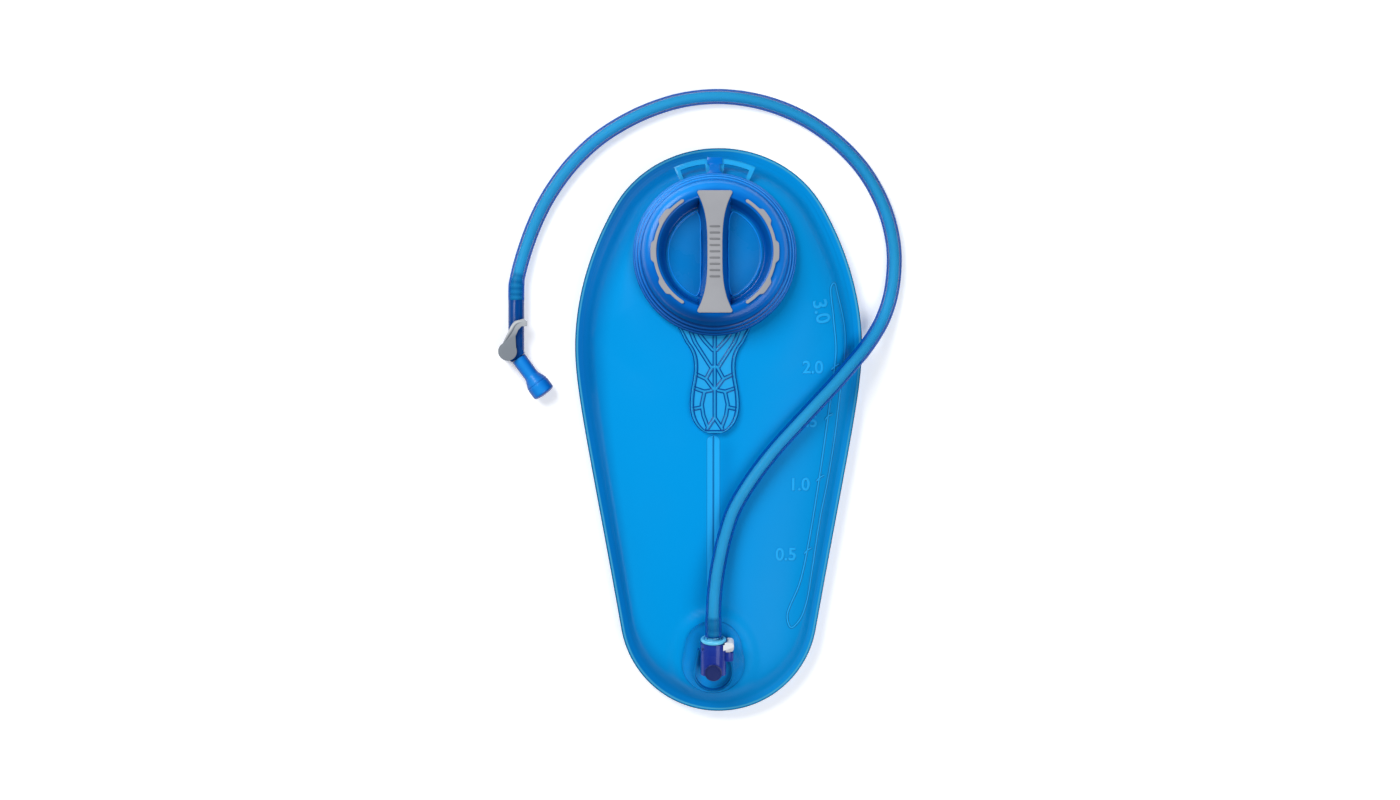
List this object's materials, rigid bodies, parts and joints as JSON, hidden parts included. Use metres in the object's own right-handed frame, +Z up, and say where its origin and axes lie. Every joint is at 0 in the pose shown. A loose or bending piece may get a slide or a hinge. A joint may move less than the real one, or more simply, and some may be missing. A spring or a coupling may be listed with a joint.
{
  "type": "hydration bladder",
  "caption": "Welded film water reservoir with a screw cap on a tether, a grab handle, a quick-release exit port, and a drink tube ending in a shut-off bite valve.",
  "frame": {"origin": "on the ground under the middle of the bag, which lies on its back", "axes": "+Y from the exit port to the cap, +Z up through the front film, +X to the right seen from above"},
  "size_m": [0.3027, 0.4672, 0.0688],
  "materials": {
    "film": "satin translucent blue TPU film",
    "clear": "clear flexible TPU",
    "tether": "flexible blue plastic",
    "cap_blue": "polished translucent royal blue plastic",
    "cap_clear": "polished see-through blue plastic",
    "grip": "matt grey soft-touch",
    "seal": "silicone",
    "housing": "moulded violet blue",
    "button": "fine matt white",
    "collar": "moulded light blue",
    "spring": "stainless",
    "tube": "translucent blue flexible tube",
    "valve": "moulded dark blue",
    "lever": "matt grey",
    "sheath": "translucent blue silicone"
  },
  "bodies": {
    "root": {"front_panel": "film", "back_panel": "film", "centre_baffle": "film", "port_flange": "clear", "neck_collar": "clear", "handle": "clear", "tether_anchor": "tether", "tether_strap": "tether", "exit_port_base": "clear", "plug_housing": "housing", "button_spring": "spring"},
    "tether_ring": {"tether_ring": "cap_blue"},
    "cap": {"cap_shell": "cap_blue", "cap_window": "cap_clear", "cap_gasket": "seal", "bridge_grip": "grip", "arc_grip_left": "grip", "arc_grip_right": "grip"},
    "release_button": {"release_button": "button", "latch_plate": "spring"},
    "drink_tube": {"hose_plug": "collar", "plug_collar": "collar", "plug_o_ring": "seal", "hose": "tube", "valve_body": "valve"},
    "valve_lever": {"valve_rotor": "lever", "rotor_seals": "seal", "valve_lever": "lever"},
    "bite_sheath": {"bite_sheath": "sheath"}
  },
  "joints": [
    {"name": "cap_lift", "type": "slide", "parent": "root", "child": "tether_ring", "axis": [0, 0.0523, 0.9986], "range_m": [0, 0.0075], "deforming": ["tether_strap"]},
    {"name": "cap_turn", "type": "hinge", "parent": "tether_ring", "child": "cap", "pos_m": [-0.003, 0.1295, 0.038], "axis": [0, 0.0523, 0.9986], "range_deg": [0, 450]},
    {"name": "button_press", "type": "slide", "parent": "root", "child": "release_button", "axis": [-1, 0, 0], "range_m": [0, 0.0015], "stiffness_N_per_m": 600, "springref_m": -0.001, "deforming": ["button_spring"]},
    {"name": "plug_pull", "type": "slide", "parent": "root", "child": "drink_tube", "axis": [0, 0.9659, 0.2588], "range_m": [0, 0.022]},
    {"name": "lever_turn", "type": "hinge", "parent": "drink_tube", "child": "valve_lever", "pos_m": [-0.158, 0.0585, 0.009], "axis": [0, 0, 1], "range_deg": [0, 90]},
    {"name": "sheath_pull", "type": "slide", "parent": "drink_tube", "child": "bite_sheath", "axis": [0.5902, -0.8073, 0], "range_m": [0, 0.016]}
  ],
  "couplings": [
    {"joint": "cap_lift", "follows": "cap_turn", "m_per_rad": 0.00095493}
  ]
}
